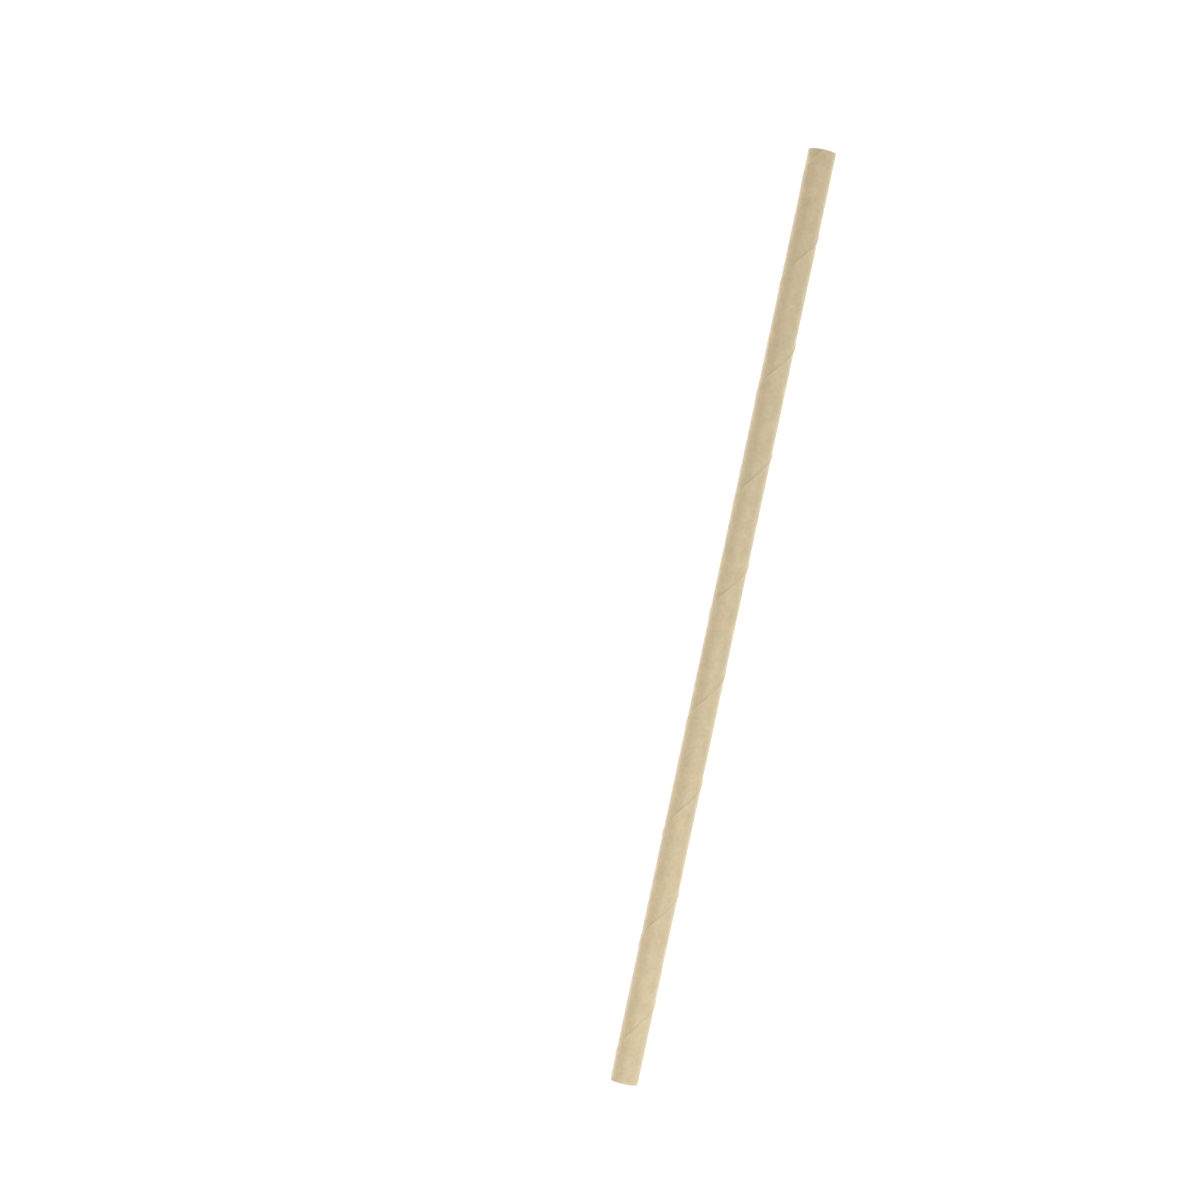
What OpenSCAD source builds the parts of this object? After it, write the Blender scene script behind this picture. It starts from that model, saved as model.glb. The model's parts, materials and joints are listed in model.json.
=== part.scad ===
// Paper drinking straw, wound from a paper strip and cut square at both ends.
// The straw lies along Y on the ground plane, with its middle over the origin.
// Angles run round the straw from the top, +Z, towards +X.

/* [Tube] */
// Length of the straw
tube_len = 200; // [120:5:260]
// Outside diameter, measured beside the lap
outer_d = 5.9; // [4.9:0.1:11.9]
// Thickness of the wall, which is all the plies and their glue
wall_t = 0.4; // [0.3:0.05:0.6]

/* [Outer seam] */
// Advance of the strip along the straw in one turn
wind_pitch = 23.5; // [15:0.1:40]
// Thickness of the outer ply, by which its lap stands proud
ply_t = 0.1; // [0.05:0.01:0.15]
// Width of the lap along the straw, from the bare edge to the covered edge
lap_w = 0.6; // [0.4:0.1:3]
// Length along the straw in which the upper ply comes down past the covered edge
lap_fall = 0.5; // [0.2:0.1:1]
// Distance from the +Y end to the bare edge, along the top of the straw
seam_start = 23.1; // [0:0.1:40]

/* [Inner seam] */
// Gap between the edges of the inner ply, along the straw
inner_gap = 0.5; // [0.3:0.1:1]
// Thickness of the inner ply, which is the depth of the gap
inner_ply_t = 0.1; // [0.05:0.01:0.15]
// Distance along the straw from the outer seam to the inner one
seam_stagger = 7.8; // [3:0.2:12]

/* [Underside] */
// Depth of the narrow flat that the straw lies on, measured on the tube beside the lap
flat_depth = 0.01; // [0.005:0.005:0.05]

/* [Hidden] */

kraft = [0.80, 0.74, 0.61];
outer_r = outer_d / 2;
bore_r = outer_r - wall_t;
lap_r = outer_r + ply_t;
// Height of the straw's axis over the surface that it lies on
axis_h = outer_r - flat_depth;
// Where the bare edge crosses the top of the straw
seam_y = tube_len / 2 - seam_start;
// Angle from one cross-section of a winding to the next
ring_angle = 7.5;
// Length by which windings and cuts run past the ends, before they are trimmed
overrun = 2;

// A point that lies dy along the straw from the bare edge, at angle a and radius r
function by_the_seam(a, dy, r) =
    [r * sin(a), seam_y + wind_pitch * a / 360 + dy, axis_h + r * cos(a)];

// Number of cross-sections from the bare edge on top of the straw to a place y
function rings_to(y) = (y - seam_y) * 360 / wind_pitch / ring_angle;

// Round bar along the straw, centred on its middle
module along_straw(r, l) {
    translate([0, -l / 2, axis_h])
        rotate([-90, 0, 0])
            cylinder(h = l, r = r, $fn = 96);
}

// Sweeps a profile of [distance along the straw, radius] along the seam, past both ends
module winding(profile) {
    reach = tube_len / 2 + overrun + lap_w + seam_stagger;
    n = len(profile);
    rings = [for (i = [floor(rings_to(-reach)) : ceil(rings_to(reach))])
        [for (p = profile) by_the_seam(i * ring_angle, p[0], p[1])]];
    last = (len(rings) - 1) * n;
    sides = [for (i = [0 : n : last - n], j = [0 : n - 1])
        let (a = i + j, b = i + (j + 1) % n)
            each [[a, a + n, b], [b, a + n, b + n]]];
    polyhedron(
        points = [for (ring = rings) each ring],
        faces = concat(sides, [[for (j = [0 : n - 1]) j], [for (j = [n - 1 : -1 : 0]) last + j]])
    );
}

// The outer ply where it overlaps itself: a sharp bare edge towards +Y, and a
// slope down on the other side, with its root in the ply below
module lap() {
    intersection() {
        winding([
            [0, outer_r - ply_t],
            [0, lap_r],
            [-lap_w, lap_r],
            [-lap_w - 2 * lap_fall, outer_r - ply_t]
        ]);
        along_straw(lap_r + overrun, tube_len);
    }
}

// The gap that the inner ply's edges leave in the bore
module inner_seam() {
    winding([
        [seam_stagger, bore_r - inner_ply_t],
        [seam_stagger, bore_r + inner_ply_t],
        [seam_stagger - inner_gap, bore_r + inner_ply_t],
        [seam_stagger - inner_gap, bore_r - inner_ply_t]
    ]);
}

// Everything below the surface that the straw lies on. It leaves a narrow flat along
// the underside and presses the lap down there, so the straw doesn't roll away
module below_surface() {
    translate([-lap_r, -tube_len / 2 - overrun, -lap_r])
        cube([2 * lap_r, tube_len + 2 * overrun, lap_r]);
}

module paper_tube() {
    color(kraft)
        difference() {
            union() {
                along_straw(outer_r, tube_len);
                lap();
            }
            along_straw(bore_r, tube_len + 2 * overrun);
            inner_seam();
            below_surface();
        }
}

paper_tube();
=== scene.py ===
import json
import math

import bpy
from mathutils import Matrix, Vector


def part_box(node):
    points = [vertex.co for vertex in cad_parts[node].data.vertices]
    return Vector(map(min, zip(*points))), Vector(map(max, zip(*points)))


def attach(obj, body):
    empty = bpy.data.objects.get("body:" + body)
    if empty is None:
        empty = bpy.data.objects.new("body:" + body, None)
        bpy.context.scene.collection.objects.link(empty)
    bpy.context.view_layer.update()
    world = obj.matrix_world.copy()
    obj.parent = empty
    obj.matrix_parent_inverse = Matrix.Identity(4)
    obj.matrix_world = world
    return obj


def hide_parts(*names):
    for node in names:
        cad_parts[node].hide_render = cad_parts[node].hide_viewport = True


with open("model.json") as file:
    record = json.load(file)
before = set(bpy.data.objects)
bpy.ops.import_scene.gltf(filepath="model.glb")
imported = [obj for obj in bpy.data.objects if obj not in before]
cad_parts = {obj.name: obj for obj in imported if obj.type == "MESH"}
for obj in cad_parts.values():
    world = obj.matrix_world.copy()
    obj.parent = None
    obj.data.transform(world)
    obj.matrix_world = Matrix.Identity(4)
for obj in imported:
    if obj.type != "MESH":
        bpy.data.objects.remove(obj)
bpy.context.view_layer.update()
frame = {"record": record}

mm = 0.001
um = 0.001 * mm
mounts = {mount["name"]: mount for mount in frame["record"]["mounts"]}
tubeRadius = mounts["outside"]["dims"]["r_mm"] * mm
boreRadius = mounts["bore"]["dims"]["r_mm"] * mm
axisHeight = mounts["outside"]["pos_m"][2]
print("frame read: tube radius", round(tubeRadius / mm, 3), "mm, bore", round(boreRadius / mm, 3), "mm")


# one node with its settings and inputs; an input is a value or another node's output
def addNode(tree, kind, inputs=None, **settings):
    node = tree.nodes.new(kind)
    for name, value in settings.items():
        setattr(node, name, value)
    for key, value in (inputs or {}).items():
        if isinstance(value, bpy.types.NodeSocket):
            tree.links.new(value, node.inputs[key])
        else:
            node.inputs[key].default_value = value
    return node


def calc(tree, operation, *values):
    return addNode(tree, "ShaderNodeMath", dict(enumerate(values)), operation=operation).outputs[0]


def addUp(tree, *values):
    total = values[0]
    for value in values[1:]:
        total = calc(tree, "ADD", total, value)
    return total


def zeroToOne(tree, value):
    return addNode(tree, "ShaderNodeClamp", {"Value": value}).outputs[0]


def blend(tree, share, start, end):
    return addNode(tree, "ShaderNodeMix", {"Factor": share, "A": start, "B": end}).outputs[0]


def vector(tree, x, y, z):
    return addNode(tree, "ShaderNodeCombineXYZ", {"X": x, "Y": y, "Z": z}).outputs[0]


def scaled(tree, place, factor):
    return addNode(tree, "ShaderNodeVectorMath", {0: place, "Scale": factor}, operation="SCALE").outputs[0]


def moved(tree, place, offset):
    return addNode(tree, "ShaderNodeVectorMath", {0: place, 1: offset}, operation="ADD").outputs[0]


# a field that is worked out at the points, also where it is stored at the face corners
def atPoints(tree, value, dataType="FLOAT"):
    settings = {"data_type": dataType, "domain": "POINT"}
    return addNode(tree, "GeometryNodeFieldOnDomain", {"Value": value}, **settings).outputs[0]


def markCorners(tree, geometry, name, value, dataType="FLOAT"):
    inputs = {"Geometry": geometry, "Name": name, "Value": value}
    settings = {"data_type": dataType, "domain": "CORNER"}
    return addNode(tree, "GeometryNodeStoreNamedAttribute", inputs, **settings).outputs[0]


# a node group with named inputs, of which counts are the whole numbers, and one output
def newGroup(name, numbers, counts, output):
    tree = bpy.data.node_groups.new(name, "GeometryNodeTree")
    for kind, labels in (("NodeSocketFloat", numbers), ("NodeSocketInt", counts)):
        for label in labels:
            tree.interface.new_socket(label, in_out="INPUT", socket_type=kind)
    label, kind = output
    tree.interface.new_socket(label, in_out="OUTPUT", socket_type="NodeSocket" + kind)
    return tree, addNode(tree, "NodeGroupInput").outputs, addNode(tree, "NodeGroupOutput")


def useGroup(tree, group, inputs):
    return addNode(tree, "GeometryNodeGroup", inputs, node_tree=group).outputs


# what the record doesn't hold: down to stagger the part's own lengths, then the scene's alone
strawForm = {
    "pitch": 23.5 * mm,  # advance of the strip in one turn
    "seamStart": 23.1 * mm,  # bare edge on top of the straw, from the +Y end
    "lapWidth": 0.6 * mm,
    "lapFall": 0.5 * mm,
    "innerGap": 0.5 * mm,
    "innerPly": 0.1 * mm,
    "stagger": 7.8 * mm,  # from the outer seam to the inner one
    "edgeSlope": 0.26 * mm,  # the bare edge is pressed down, so it isn't upright
    "stepsPerTurn": 96,
    "acrossOutside": 60,
    "acrossInside": 24,
    "ringsInWall": 24,
    "plies": 3,
    "plyGroove": 0.03 * mm,
    "rim": 0.08 * mm,  # how round the cut has left the rims
    "rimRings": 3,
    "dent": 0.018 * mm,  # how deep the soft dents in the paper are
    "dentSize": 5.0 * mm,
    "edgeWave": 0.07 * mm,  # how far the bare edge wanders
    "edgeWaveSize": 3.5 * mm,
    "seed": 7.0,
    "smoothBelow": math.radians(35),  # edges that bend less are shaded as round
}


# rows and columns of points, and the row and the column that each point is in
def numberedGrid(tree, rows, columns):
    perRow = calc(tree, "ADD", columns, 1)
    grid = addNode(tree, "GeometryNodeMeshGrid", {
        "Size X": 1.0, "Size Y": 1.0, "Vertices X": calc(tree, "ADD", rows, 1), "Vertices Y": perRow,
    })
    index = addNode(tree, "GeometryNodeInputIndex").outputs[0]
    row = calc(tree, "FLOOR", calc(tree, "DIVIDE", calc(tree, "ADD", index, 0.5), perRow))
    column = calc(tree, "SUBTRACT", index, calc(tree, "MULTIPLY", row, perRow))
    return grid.outputs["Mesh"], row, column


# how far along the straw the bare edge is at an angle round it, from the top towards +X
def edgeAt(tree, seamY, pitch, angle):
    climb = calc(tree, "MULTIPLY", pitch, calc(tree, "DIVIDE", angle, math.tau))
    return calc(tree, "ADD", seamY, climb)


# the grid bent round the straw's axis
def bentRound(tree, grid, angle, radius, y, height):
    rise = calc(tree, "MULTIPLY", radius, calc(tree, "COSINE", angle))
    place = vector(
        tree,
        calc(tree, "MULTIPLY", radius, calc(tree, "SINE", angle)),
        y,
        calc(tree, "ADD", height, rise),
    )
    return addNode(tree, "GeometryNodeSetPosition", {"Geometry": grid, "Position": place}).outputs[0]


# where each corner is in the paper's pattern, in metres along and across the flat strip
def markStrip(tree, geometry, along, across):
    stripPlace = atPoints(tree, vector(tree, along, across, 0.0), "FLOAT_VECTOR")
    return markCorners(tree, geometry, "stripPlace", stripPlace, "FLOAT2")


# how far the ply is raised, 0 to 1, at a place that lies Behind the bare edge along the straw
def makeRaisedGroup():
    tree, given, out = newGroup(
        "raisedBehindEdge", ["Behind", "Raised To", "Down At", "Pitch"], [], ("Raised", "Float")
    )
    turn = calc(tree, "FRACT", calc(tree, "DIVIDE", given["Behind"], given["Pitch"]))
    left = calc(tree, "SUBTRACT", given["Down At"], calc(tree, "MULTIPLY", turn, given["Pitch"]))
    fall = calc(tree, "SUBTRACT", given["Down At"], given["Raised To"])
    share = zeroToOne(tree, calc(tree, "DIVIDE", left, fall))
    tree.links.new(share, out.inputs["Raised"])
    return tree


# one skin of the straw, wound like the strip: rows of points follow the seam, and the points
# past an end are gathered on its cut, so that the end comes out flush
def makeSkinGroup(raisedGroup):
    tree, given, out = newGroup(
        "woundSkin",
        ["Radius", "Rise", "Edge Slope", "Raised To", "Down At",
         "Seam Y", "Pitch", "Half Length", "Axis Height"],
        ["Steps Per Turn", "Across", "First Step", "Steps"],
        ("Skin", "Geometry"),
    )
    grid, row, column = numberedGrid(tree, given["Steps"], given["Across"])
    stepAngle = calc(tree, "DIVIDE", math.tau, given["Steps Per Turn"])
    angle = calc(tree, "MULTIPLY", calc(tree, "ADD", row, given["First Step"]), stepAngle)
    edgeY = edgeAt(tree, given["Seam Y"], given["Pitch"], angle)

    # columns 0 and 1 are the foot and the top of the bare edge, 2 and 3 the fall behind it
    top = calc(tree, "SUBTRACT", given["Raised To"], given["Edge Slope"])
    fall = calc(tree, "SUBTRACT", given["Down At"], given["Raised To"])
    rest = calc(tree, "SUBTRACT", given["Pitch"], given["Down At"])
    restShare = calc(
        tree, "DIVIDE",
        calc(tree, "MAXIMUM", calc(tree, "SUBTRACT", column, 3), 0),
        calc(tree, "SUBTRACT", given["Across"], 3),
    )
    behind = addUp(
        tree,
        calc(tree, "MULTIPLY", given["Edge Slope"], calc(tree, "GREATER_THAN", column, 0.5)),
        calc(tree, "MULTIPLY", top, calc(tree, "GREATER_THAN", column, 1.5)),
        calc(tree, "MULTIPLY", fall, calc(tree, "GREATER_THAN", column, 2.5)),
        calc(tree, "MULTIPLY", rest, restShare),
    )
    raised = calc(
        tree, "MULTIPLY",
        calc(tree, "GREATER_THAN", column, 0.5),
        calc(tree, "LESS_THAN", column, 2.5),
    )

    leastStep = 0.001 * um
    openY = calc(tree, "SUBTRACT", edgeY, behind)
    lowest = calc(tree, "MULTIPLY", given["Half Length"], -1)
    y = calc(tree, "MINIMUM", calc(tree, "MAXIMUM", openY, lowest), given["Half Length"])
    pastEnd = calc(tree, "ABSOLUTE", calc(tree, "SUBTRACT", openY, y))
    cutOff = calc(tree, "GREATER_THAN", pastEnd, leastStep)
    behindCut = calc(tree, "SUBTRACT", edgeY, y)
    raisedAtCut = useGroup(tree, raisedGroup, {
        "Behind": behindCut, "Raised To": given["Raised To"],
        "Down At": given["Down At"], "Pitch": given["Pitch"],
    })["Raised"]
    lift = calc(tree, "MULTIPLY", given["Rise"], blend(tree, cutOff, raised, raisedAtCut))
    radius = calc(tree, "ADD", given["Radius"], lift)
    wound = bentRound(tree, grid, angle, radius, y, given["Axis Height"])

    lean = calc(tree, "ARCTAN2", given["Pitch"], calc(tree, "MULTIPLY", math.tau, given["Radius"]))
    around = calc(tree, "MULTIPLY", angle, given["Radius"])
    along = calc(
        tree, "ADD",
        calc(tree, "MULTIPLY", around, calc(tree, "COSINE", lean)),
        calc(tree, "MULTIPLY", y, calc(tree, "SINE", lean)),
    )
    across = calc(tree, "MULTIPLY", behindCut, calc(tree, "COSINE", lean))
    tree.links.new(markStrip(tree, wound, along, across), out.inputs["Skin"])
    return tree


# the ring of bare wall at a cut end, with a fine line between the plies and softened rims
def makeCutEndGroup(raisedGroup):
    perSkin = ["Radius", "Rise", "Raised To", "Down At", "Seam Y"]
    tree, given, out = newGroup(
        "cutEnd",
        ["Rim Y", "Side", "Rim", "Relief", "Axis Height", "Pitch"]
        + [skin + label for skin in ("Outer ", "Inner ") for label in perSkin],
        ["Steps Per Turn", "Rings", "Rim Rings", "Plies"],
        ("End", "Geometry"),
    )
    grid, row, ring = numberedGrid(tree, given["Steps Per Turn"], given["Rings"])
    angle = calc(tree, "MULTIPLY", row, calc(tree, "DIVIDE", math.tau, given["Steps Per Turn"]))

    def radiusOf(skin):
        edgeY = edgeAt(tree, given[skin + "Seam Y"], given["Pitch"], angle)
        raised = useGroup(tree, raisedGroup, {
            "Behind": calc(tree, "SUBTRACT", edgeY, given["Rim Y"]),
            "Raised To": given[skin + "Raised To"],
            "Down At": given[skin + "Down At"], "Pitch": given["Pitch"],
        })["Raised"]
        lift = calc(tree, "MULTIPLY", given[skin + "Rise"], raised)
        return calc(tree, "ADD", given[skin + "Radius"], lift)

    # the first and last few rings turn a quarter round the rims, and the rest cross the cut
    def rimTurn(fromRim):
        share = zeroToOne(tree, calc(tree, "DIVIDE", fromRim, given["Rim Rings"]))
        return calc(tree, "MULTIPLY", share, math.pi / 2)

    def drawnIn(turn):
        return calc(tree, "MULTIPLY", given["Rim"], calc(tree, "SUBTRACT", 1, calc(tree, "COSINE", turn)))

    innerTurn = rimTurn(ring)
    outerTurn = rimTurn(calc(tree, "SUBTRACT", given["Rings"], ring))
    crossing = calc(tree, "SUBTRACT", given["Rings"], calc(tree, "MULTIPLY", given["Rim Rings"], 2))
    ringOnCut = calc(tree, "SUBTRACT", ring, given["Rim Rings"])
    share = zeroToOne(tree, calc(tree, "DIVIDE", ringOnCut, crossing))
    radius = blend(
        tree, share,
        calc(tree, "ADD", radiusOf("Inner "), drawnIn(innerTurn)),
        calc(tree, "SUBTRACT", radiusOf("Outer "), drawnIn(outerTurn)),
    )
    rounding = addUp(tree, calc(tree, "SINE", innerTurn), calc(tree, "SINE", outerTurn))
    stickOut = calc(tree, "MULTIPLY", given["Rim"], calc(tree, "SUBTRACT", rounding, 1))

    fineness = 6  # of the lines between the plies
    atRim = 0.02  # the wall's own two faces have no line
    inPly = calc(tree, "FRACT", calc(tree, "MULTIPLY", share, given["Plies"]))
    offMiddle = calc(tree, "ABSOLUTE", calc(tree, "SUBTRACT", inPly, 0.5))
    inside = calc(
        tree, "MULTIPLY",
        calc(tree, "GREATER_THAN", share, atRim),
        calc(tree, "LESS_THAN", share, 1 - atRim),
    )
    line = calc(
        tree, "MULTIPLY",
        calc(tree, "POWER", calc(tree, "MULTIPLY", offMiddle, 2), fineness),
        inside,
    )
    reach = calc(tree, "SUBTRACT", stickOut, calc(tree, "MULTIPLY", line, given["Relief"]))
    y = calc(tree, "ADD", given["Rim Y"], calc(tree, "MULTIPLY", reach, given["Side"]))

    end = bentRound(tree, grid, angle, radius, y, given["Axis Height"])
    end = markStrip(tree, end, calc(tree, "MULTIPLY", angle, radius), radius)
    end = markCorners(tree, end, "cutFace", 1.0)
    end = markCorners(tree, end, "plyLine", atPoints(tree, line))
    tree.links.new(end, out.inputs["End"])
    return tree


# skins and ends joined into one closed wall, with soft dents and a slightly wandering edge
def makeStrawTree(paper):
    raisedGroup = makeRaisedGroup()
    skinGroup = makeSkinGroup(raisedGroup)
    endGroup = makeCutEndGroup(raisedGroup)
    tree, given, out = newGroup(
        "strawWinding",
        ["Outer Radius", "Bore Radius", "Half Length", "Axis Height", "Pitch", "Seam Y",
         "Lap Height", "Lap Width", "Lap Fall", "Edge Slope",
         "Inner Ply", "Inner Gap", "Inner Seam Y", "Ply Groove", "Rim",
         "Dent", "Dent Size", "Edge Wave", "Edge Wave Size", "Seed", "Smooth Below"],
        ["Steps Per Turn", "Across Outside", "Across Inside", "Rings", "Rim Rings", "Plies"],
        ("Geometry", "Geometry"),
    )

    rimY = calc(tree, "SUBTRACT", given["Half Length"], given["Rim"])
    lapEnd = calc(tree, "ADD", given["Lap Width"], given["Lap Fall"])
    gapEnd = calc(tree, "ADD", given["Inner Gap"], um)  # the inner ply's edge is all but upright

    # one turn more before the -Y end and two past the +Y end, which are gathered on the cuts
    turnsEachWay = calc(tree, "DIVIDE", given["Half Length"], given["Pitch"])
    firstTurn = calc(
        tree, "SUBTRACT",
        calc(tree, "MULTIPLY", calc(tree, "ADD", turnsEachWay, 1), -1),
        calc(tree, "DIVIDE", given["Seam Y"], given["Pitch"]),
    )
    firstStep = calc(tree, "FLOOR", calc(tree, "MULTIPLY", firstTurn, given["Steps Per Turn"]))
    turns = calc(tree, "ADD", calc(tree, "MULTIPLY", turnsEachWay, 2), 3)
    steps = calc(tree, "CEIL", calc(tree, "MULTIPLY", given["Steps Per Turn"], turns))

    shared = {
        "Pitch": given["Pitch"], "Half Length": rimY, "Axis Height": given["Axis Height"],
        "Steps Per Turn": given["Steps Per Turn"], "First Step": firstStep, "Steps": steps,
    }
    outside = useGroup(tree, skinGroup, shared | {
        "Radius": given["Outer Radius"], "Rise": given["Lap Height"],
        "Raised To": given["Lap Width"], "Down At": lapEnd, "Edge Slope": given["Edge Slope"],
        "Seam Y": given["Seam Y"], "Across": given["Across Outside"],
    })["Skin"]
    outside = addNode(tree, "GeometryNodeFlipFaces", {"Mesh": outside}).outputs[0]
    inside = useGroup(tree, skinGroup, shared | {
        "Radius": given["Bore Radius"], "Rise": given["Inner Ply"],
        "Raised To": given["Inner Gap"], "Down At": gapEnd,
        "Seam Y": given["Inner Seam Y"], "Across": given["Across Inside"],
    })["Skin"]
    ends = []
    for side in (1, -1):
        end = useGroup(tree, endGroup, {
            "Rim Y": calc(tree, "MULTIPLY", rimY, side), "Side": side,
            "Rim": given["Rim"], "Rim Rings": given["Rim Rings"], "Relief": given["Ply Groove"],
            "Axis Height": given["Axis Height"], "Pitch": given["Pitch"],
            "Steps Per Turn": given["Steps Per Turn"], "Rings": given["Rings"], "Plies": given["Plies"],
            "Outer Radius": given["Outer Radius"], "Outer Rise": given["Lap Height"],
            "Outer Raised To": given["Lap Width"], "Outer Down At": lapEnd,
            "Outer Seam Y": given["Seam Y"],
            "Inner Radius": given["Bore Radius"], "Inner Rise": given["Inner Ply"],
            "Inner Raised To": given["Inner Gap"], "Inner Down At": gapEnd,
            "Inner Seam Y": given["Inner Seam Y"],
        })["End"]
        if side > 0:
            end = addNode(tree, "GeometryNodeFlipFaces", {"Mesh": end}).outputs[0]
        ends.append(end)

    sewWithin = 0.2 * um
    joined = addNode(tree, "GeometryNodeJoinGeometry")
    for skin in (outside, inside, *ends):
        tree.links.new(skin, joined.inputs[0])
    sewn = addNode(tree, "GeometryNodeMergeByDistance", {
        "Geometry": joined.outputs[0], "Distance": sewWithin,
    }).outputs[0]

    position = addNode(tree, "GeometryNodeInputPosition").outputs[0]
    x, y, z = addNode(tree, "ShaderNodeSeparateXYZ", {"Vector": position}).outputs
    fromAxis = vector(tree, x, 0.0, calc(tree, "SUBTRACT", z, given["Axis Height"]))
    outwards = addNode(tree, "ShaderNodeVectorMath", {0: fromAxis}, operation="NORMALIZE").outputs[0]
    dents = addNode(tree, "ShaderNodeTexNoise", {
        "Vector": position, "W": given["Seed"], "Scale": calc(tree, "DIVIDE", 1, given["Dent Size"]),
        "Detail": 3.0, "Roughness": 0.55,
    }, noise_dimensions="4D").outputs[0]
    inwards = calc(tree, "MULTIPLY", calc(tree, "SUBTRACT", dents, 1), given["Dent"])
    edgeSeed = calc(tree, "ADD", given["Seed"], 5)  # so that the edge doesn't follow the dents
    wander = addNode(tree, "ShaderNodeTexNoise", {
        "Vector": position, "W": edgeSeed, "Detail": 2.0,
        "Scale": calc(tree, "DIVIDE", 1, given["Edge Wave Size"]),
    }, noise_dimensions="4D").outputs[0]
    toEnd = calc(tree, "SUBTRACT", given["Half Length"], calc(tree, "ABSOLUTE", y))
    awayFromEnd = zeroToOne(tree, calc(tree, "DIVIDE", toEnd, given["Edge Wave Size"]))
    shift = calc(
        tree, "MULTIPLY",
        calc(tree, "MULTIPLY", calc(tree, "SUBTRACT", wander, 0.5), 2),
        calc(tree, "MULTIPLY", given["Edge Wave"], awayFromEnd),
    )
    wear = moved(tree, scaled(tree, outwards, inwards), vector(tree, 0.0, shift, 0.0))
    worn = addNode(tree, "GeometryNodeSetPosition", {"Geometry": sewn, "Offset": wear}).outputs[0]

    # the narrow flat that the straw lies on
    lyingPlace = vector(tree, x, y, calc(tree, "MAXIMUM", z, 0.0))
    lying = addNode(tree, "GeometryNodeSetPosition", {"Geometry": worn, "Position": lyingPlace}).outputs[0]

    bend = addNode(tree, "GeometryNodeInputMeshEdgeAngle").outputs[0]
    rounded = addNode(tree, "GeometryNodeSetShadeSmooth", {
        "Geometry": lying, "Shade Smooth": True,
    }, domain="FACE").outputs[0]
    shaded = addNode(tree, "GeometryNodeSetShadeSmooth", {
        "Geometry": rounded, "Shade Smooth": calc(tree, "LESS_THAN", bend, given["Smooth Below"]),
    }, domain="EDGE").outputs[0]
    real = addNode(tree, "GeometryNodeRealizeInstances", {"Geometry": shaded}).outputs[0]
    papered = addNode(tree, "GeometryNodeSetMaterial", {"Geometry": real, "Material": paper}).outputs[0]
    tree.links.new(papered, out.inputs["Geometry"])
    return tree


def makeStraw(form, paper):
    low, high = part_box("paper_tube")
    halfLength = (high[1] - low[1]) / 2
    seamY = halfLength - form["seamStart"]
    values = {
        "Outer Radius": tubeRadius, "Bore Radius": boreRadius, "Half Length": halfLength,
        "Axis Height": axisHeight, "Pitch": form["pitch"], "Seam Y": seamY,
        "Lap Height": (high[0] - low[0]) / 2 - tubeRadius, "Lap Width": form["lapWidth"],
        "Lap Fall": form["lapFall"], "Edge Slope": form["edgeSlope"],
        "Inner Ply": form["innerPly"], "Inner Gap": form["innerGap"],
        "Inner Seam Y": seamY + form["stagger"], "Ply Groove": form["plyGroove"],
        "Rim": form["rim"], "Dent": form["dent"], "Dent Size": form["dentSize"],
        "Edge Wave": form["edgeWave"], "Edge Wave Size": form["edgeWaveSize"],
        "Seed": form["seed"], "Smooth Below": form["smoothBelow"],
        "Steps Per Turn": form["stepsPerTurn"], "Across Outside": form["acrossOutside"],
        "Across Inside": form["acrossInside"], "Rings": form["ringsInWall"],
        "Rim Rings": form["rimRings"], "Plies": form["plies"],
    }
    tree = makeStrawTree(paper)
    maker = bpy.data.objects.new("strawMaker", bpy.data.meshes.new("strawMaker"))
    bpy.context.collection.objects.link(maker)
    winding = maker.modifiers.new("winding", "NODES")
    winding.node_group = tree
    for socket in tree.interface.items_tree:
        if socket.in_out == "INPUT":
            winding[socket.identifier] = values[socket.name]
    graph = bpy.context.evaluated_depsgraph_get()
    wound = maker.evaluated_get(graph)
    mesh = bpy.data.meshes.new_from_object(wound, preserve_all_data_layers=True, depsgraph=graph)
    bpy.data.objects.remove(maker)
    mesh.materials.pop(index=0)  # the empty slot ahead of the paper's
    mesh.name = "straw"
    straw = bpy.data.objects.new("straw", mesh)
    bpy.context.collection.objects.link(straw)
    return straw


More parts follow.
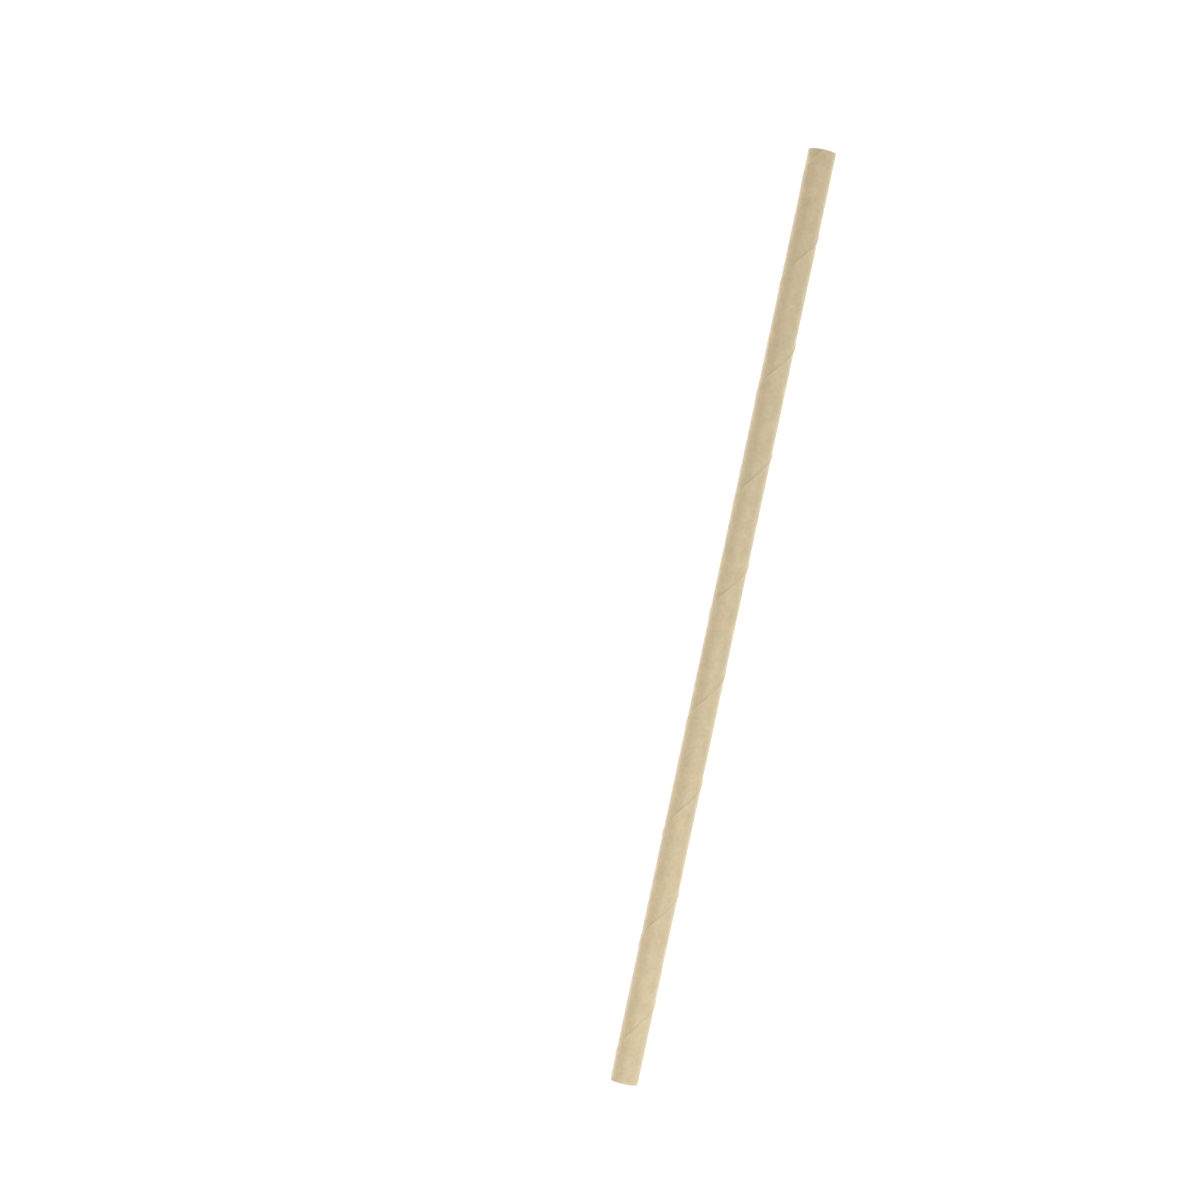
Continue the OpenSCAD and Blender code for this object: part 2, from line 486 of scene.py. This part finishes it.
# the paper's pattern lies on the flat strip; sizes are in mm, a tone is a share of the colour,
# a height is in micrometres, and a shift sets one pattern apart from the next
paperLook = {
    "warmColor": (0.612, 0.492, 0.303),
    "coolColor": (0.594, 0.498, 0.312),
    "driftSize": 5.0,  # of the slow change between the two
    "driftShift": (31.0, 17.0),
    "driftFromTo": (0.35, 0.65),
    "roughness": 0.6,
    "roughnessSpread": 0.12,
    "specular": 0.5,
    "sheen": 0.4,
    "sheenRoughness": 0.3,
    "pulp": [
        {"name": "clouds", "size": 3.2, "detail": 2.0, "shift": 4.7, "tone": 0.095, "height": 14.0},
        {"name": "flocs", "size": 0.85, "detail": 3.0, "shift": 16.0, "tone": 0.085, "height": 9.0},
        {"name": "grain", "size": 0.12, "detail": 1.0, "shift": 27.3, "tone": 0.06, "height": 6.0},
    ],
    "fibres": [
        {"length": 1.8, "width": 0.045, "turn": 12, "shift": 2.1,
         "fromTo": (0.60, 0.72), "tone": 0.06, "height": 8.0},
        {"length": 1.5, "width": 0.05, "turn": -24, "shift": 10.0,
         "fromTo": (0.60, 0.72), "tone": 0.05, "height": 8.0},
        {"length": 1.2, "width": 0.035, "turn": 38, "shift": 17.9,
         "fromTo": (0.66, 0.76), "tone": -0.09, "height": 3.0},
        {"length": 0.9, "width": 0.035, "turn": -58, "shift": 25.8,
         "fromTo": (0.67, 0.77), "tone": -0.08, "height": 3.0},
    ],
    "fibreBend": 0.35,
    "fibreBendSize": 1.6,
    "specks": {"apart": 1.9, "share": 0.16, "smallest": 0.025, "largest": 0.08,
               "edge": (1.2, 0.7), "tone": -0.4},  # a fleck fades between these shares of its radius
    "creaseShadeAndGlue": {"width": 0.22, "tone": -0.05, "shift": 53.0},  # painted shade, with some glue, at the foot of the bare edge
    "torn": {"width": 0.12, "tone": 0.12, "shift": 62.1},  # pale torn fibres along the bare edge
    # pale where the ply comes down over the covered edge
    "rubbed": {"at": 0.37, "width": 0.2, "tone": 0.09, "shift": 71.2},
    "patchSize": 2.6,  # the marks along the seam come and go
    "patchDetail": 3.0,
    "patchFromTo": (-0.35, 0.35),
    "cutTone": 0.06,
    "plyLineTone": -0.38,
}


def softStep(tree, value, low, high):
    return addNode(tree, "ShaderNodeMapRange", {
        "Value": value, "From Min": low, "From Max": high,
    }, interpolation_type="SMOOTHSTEP").outputs["Result"]


# noise around 0, mostly between -0.5 and 0.5
def mottle(tree, place, size, detail, shift):
    noise = addNode(tree, "ShaderNodeTexNoise", {
        "Vector": moved(tree, place, (shift, -0.7 * shift, 0.0)), "Scale": 1 / size, "Detail": detail,
    }, noise_dimensions="2D").outputs[0]
    return calc(tree, "MULTIPLY", calc(tree, "SUBTRACT", noise, 0.5), 2)


# 0 to 1, long thin marks that lie about one way and bend a little
def fibreMarks(tree, bentPlace, fibre):
    shift = (fibre["shift"], 0.4 * fibre["shift"], 0.0)
    turned = addNode(tree, "ShaderNodeVectorRotate", {
        "Vector": moved(tree, bentPlace, shift), "Angle": math.radians(fibre["turn"]),
    }, rotation_type="Z_AXIS").outputs[0]
    stretched = addNode(tree, "ShaderNodeVectorMath", {
        0: turned, 1: (1 / fibre["length"], 1 / fibre["width"], 0.0),
    }, operation="MULTIPLY").outputs[0]
    noise = addNode(tree, "ShaderNodeTexNoise", {
        "Vector": stretched, "Scale": 1.0, "Detail": 1.0,
    }, noise_dimensions="2D").outputs[0]
    return softStep(tree, noise, *fibre["fromTo"])


# 0 to 1, small round flecks in some cells of an uneven grid
def speckMarks(tree, place, specks):
    cells = addNode(tree, "ShaderNodeTexVoronoi", {
        "Vector": place, "Scale": 1 / specks["apart"],
    }, voronoi_dimensions="2D").outputs
    luck = addNode(tree, "ShaderNodeSeparateColor", {"Color": cells["Color"]}).outputs
    radius = addNode(tree, "ShaderNodeMapRange", {
        "Value": luck["Green"], "To Min": specks["smallest"], "To Max": specks["largest"],
    }).outputs["Result"]
    fromCentre = calc(tree, "MULTIPLY", cells["Distance"], specks["apart"])
    inside = softStep(tree, calc(tree, "DIVIDE", fromCentre, radius), *specks["edge"])
    return calc(tree, "MULTIPLY", inside, calc(tree, "LESS_THAN", luck["Red"], specks["share"]))


def makePaper(look, form, radius):
    paper = bpy.data.materials.new("kraftPaper")
    paper.use_nodes = True
    tree = paper.node_tree
    shader = tree.nodes["Principled BSDF"]
    onStrip = addNode(tree, "ShaderNodeUVMap", uv_map="stripPlace").outputs[0]
    place = scaled(tree, onStrip, 1 / mm)
    across = addNode(tree, "ShaderNodeSeparateXYZ", {"Vector": place}).outputs["Y"]
    onCut = addNode(tree, "ShaderNodeAttribute", attribute_name="cutFace").outputs["Fac"]
    plyLine = addNode(tree, "ShaderNodeAttribute", attribute_name="plyLine").outputs["Fac"]

    tones, heights = [1.0], []
    for pulp in look["pulp"]:
        pattern = mottle(tree, place, pulp["size"], pulp["detail"], pulp["shift"])
        tones.append(calc(tree, "MULTIPLY", pattern, pulp["tone"]))
        heights.append(calc(tree, "MULTIPLY", pattern, pulp["height"]))
        if pulp["name"] == "grain":
            grain = pattern

    bendNoise = addNode(tree, "ShaderNodeTexNoise", {
        "Vector": place, "Scale": 1 / look["fibreBendSize"], "Detail": 1.0,
    }, noise_dimensions="2D").outputs["Color"]
    bentPlace = moved(tree, place, scaled(tree, bendNoise, look["fibreBend"]))
    for fibre in look["fibres"]:
        marks = fibreMarks(tree, bentPlace, fibre)
        tones.append(calc(tree, "MULTIPLY", marks, fibre["tone"]))
        heights.append(calc(tree, "MULTIPLY", marks, fibre["height"]))

    specks = speckMarks(tree, place, look["specks"])
    tones.append(calc(tree, "MULTIPLY", specks, look["specks"]["tone"]))

    # the strip is as wide as the pitch, measured square to its edge
    lean = math.atan2(form["pitch"], math.tau * radius)
    stripWidth = form["pitch"] * math.cos(lean) / mm
    fromRubbed = calc(tree, "ABSOLUTE", calc(tree, "SUBTRACT", across, look["rubbed"]["at"]))
    seamBands = {
        # painted shade, with some glue, darkens the paper along the foot of the bare edge
        "creaseShadeAndGlue": softStep(tree, across, stripWidth - look["creaseShadeAndGlue"]["width"], stripWidth),
        "torn": softStep(tree, across, look["torn"]["width"], 0.0),
        "rubbed": softStep(tree, fromRubbed, look["rubbed"]["width"], 0.0),
    }
    onSkin = calc(tree, "SUBTRACT", 1, onCut)
    for name, band in seamBands.items():
        comeAndGo = mottle(tree, place, look["patchSize"], look["patchDetail"], look[name]["shift"])
        patches = softStep(tree, comeAndGo, *look["patchFromTo"])
        strength = calc(tree, "MULTIPLY", calc(tree, "MULTIPLY", band, patches), onSkin)
        tones.append(calc(tree, "MULTIPLY", strength, look[name]["tone"]))
    tones.append(calc(tree, "MULTIPLY", onCut, look["cutTone"]))
    tones.append(calc(tree, "MULTIPLY", plyLine, look["plyLineTone"]))

    drift = addNode(tree, "ShaderNodeTexNoise", {
        "Vector": moved(tree, place, look["driftShift"] + (0.0,)),
        "Scale": 1 / look["driftSize"], "Detail": 2.0,
    }, noise_dimensions="2D").outputs[0]
    pulpColor = addNode(tree, "ShaderNodeMix", {
        "Factor": softStep(tree, drift, *look["driftFromTo"]),
        "A": look["warmColor"] + (1.0,), "B": look["coolColor"] + (1.0,),
    }, data_type="RGBA").outputs["Result"]
    tree.links.new(scaled(tree, pulpColor, addUp(tree, *tones)), shader.inputs["Base Color"])

    rough = calc(tree, "ADD", look["roughness"], calc(tree, "MULTIPLY", grain, look["roughnessSpread"]))
    tree.links.new(rough, shader.inputs["Roughness"])
    relief = addNode(tree, "ShaderNodeBump", {
        "Height": addUp(tree, *heights), "Strength": 1.0, "Distance": um,
    }).outputs[0]
    tree.links.new(relief, shader.inputs["Normal"])
    shader.inputs["Specular IOR Level"].default_value = look["specular"]
    shader.inputs["Sheen Weight"].default_value = look["sheen"]
    shader.inputs["Sheen Roughness"].default_value = look["sheenRoughness"]
    return paper


floorLook = {
    "size": 30.0,
    "tone": 0.07,
    "roughness": 0.9,
    "glow": 0.955,  # a lit table, white and nearly without shadow as in the photo
}


def makeFloor(look):
    size, tone = look["size"], look["tone"]
    mesh = bpy.data.meshes.new("floor")
    mesh.from_pydata(
        [(-size, -size, 0), (size, -size, 0), (size, size, 0), (-size, size, 0)], [], [(0, 1, 2, 3)]
    )
    floor = bpy.data.objects.new("floor", mesh)
    bpy.context.collection.objects.link(floor)
    white = bpy.data.materials.new("whiteSurface")
    white.use_nodes = True
    shader = white.node_tree.nodes["Principled BSDF"]
    shader.inputs["Base Color"].default_value = (tone, tone, tone, 1.0)
    shader.inputs["Roughness"].default_value = look["roughness"]
    shader.inputs["Emission Color"].default_value = (1.0, 1.0, 1.0, 1.0)
    shader.inputs["Emission Strength"].default_value = look["glow"]
    mesh.materials.append(white)


# where the straw's two ends are in the photo, in its 1200 x 1200 pixels
photoView = {
    "width": 1200,
    "topEnd": (822.9, 149.1),
    "bottomEnd": (623.5, 1084.5),
    "focal": 2870.0,  # lens to film, in the same pixels
    "sensor": 36.0,
    "nearest": 0.01,
    "farthest": 100.0,
}


# a camera that looks straight down and has both ends of the straw where the photo has them
def makeCamera(view):
    low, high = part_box("paper_tube")
    length, top = high[1] - low[1], high[2]
    half = view["width"] / 2
    ends = [((u - half), (half - v)) for u, v in (view["topEnd"], view["bottomEnd"])]
    (topX, topY), (bottomX, bottomY) = ends
    seen = math.hypot(topX - bottomX, topY - bottomY)
    metresPerPixel = length / seen
    # the straw's sides are seen at half its height, so its middle is placed at that depth
    perPixelAtSides = metresPerPixel * (1 + (top / 2) / (view["focal"] * metresPerPixel))
    roll = math.atan2(topX - bottomX, topY - bottomY)
    middle = ((topX + bottomX) / 2 * perPixelAtSides, (topY + bottomY) / 2 * perPixelAtSides)
    data = bpy.data.cameras.new("camera")
    data.sensor_width = view["sensor"]
    data.lens = view["focal"] / view["width"] * view["sensor"]
    data.clip_start = view["nearest"]
    data.clip_end = view["farthest"]
    camera = bpy.data.objects.new("camera", data)
    camera.location = (
        -(middle[0] * math.cos(roll) - middle[1] * math.sin(roll)),
        -(middle[0] * math.sin(roll) + middle[1] * math.cos(roll)),
        top + view["focal"] * metresPerPixel,
    )
    camera.rotation_euler = (0, 0, roll)
    bpy.context.collection.objects.link(camera)
    bpy.context.scene.camera = camera


studioLight = {
    "around": 0.2,  # even white light from all round
    "white": (1.0, 1.0, 1.0),
    "boxes": [
        {"name": "topBox", "at": (0.15, 0.0, 1.49), "size": (0.8, 0.8), "power": 8.0},
        {"name": "endBox", "at": (0.12, -0.45, 0.55), "size": (0.5, 0.5), "power": 3.75},
    ],
    # the lit table is brighter than it shows, so a sheet of light lies on each side of the straw
    "tableGap": 4.0 * mm,
    "tableRise": 0.5 * mm,
    "tableSize": (0.02, 0.6),
    "table": [
        {"name": "tableLeft", "side": -1, "power": 0.056, "color": (1.0, 0.89, 0.76)},
        {"name": "tableRight", "side": 1, "power": 0.034, "color": (0.87, 1.03, 1.16)},
    ],
}


def addLamp(name, place, turn, size, power, color):
    data = bpy.data.lights.new(name, "AREA")
    data.shape = "RECTANGLE"
    data.size, data.size_y = size
    data.energy = power
    data.color = color
    lamp = bpy.data.objects.new(name, data)
    lamp.location = place
    lamp.rotation_euler = turn
    lamp.visible_camera = False
    bpy.context.collection.objects.link(lamp)


# even light, a soft box overhead, one beyond the lower end, and the table's own light
def makeLight(light):
    world = bpy.data.worlds.new("studio")
    world.use_nodes = True
    background = world.node_tree.nodes["Background"]
    background.inputs["Color"].default_value = light["white"] + (1.0,)
    background.inputs["Strength"].default_value = light["around"]
    bpy.context.scene.world = world
    bpy.context.scene.view_settings.view_transform = "Standard"
    for box in light["boxes"]:
        towardsStraw = Vector(box["at"]).to_track_quat("Z", "Y").to_euler()
        addLamp(box["name"], box["at"], towardsStraw, box["size"], box["power"], light["white"])
    upwards = (math.pi, 0.0, 0.0)
    offCentre = light["tableGap"] + light["tableSize"][0] / 2
    for sheet in light["table"]:
        place = (sheet["side"] * offCentre, 0.0, light["tableRise"])
        addLamp(sheet["name"], place, upwards, light["tableSize"], sheet["power"], sheet["color"])


paper = makePaper(paperLook, strawForm, tubeRadius)
print("kraft paper made")

straw = makeStraw(strawForm, paper)
print("straw wound:", len(straw.data.vertices), "points,", len(straw.data.polygons), "faces")
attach(straw, "root")
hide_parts("paper_tube")

makeFloor(floorLook)
makeLight(studioLight)
makeCamera(photoView)
print("floor, light and camera set")
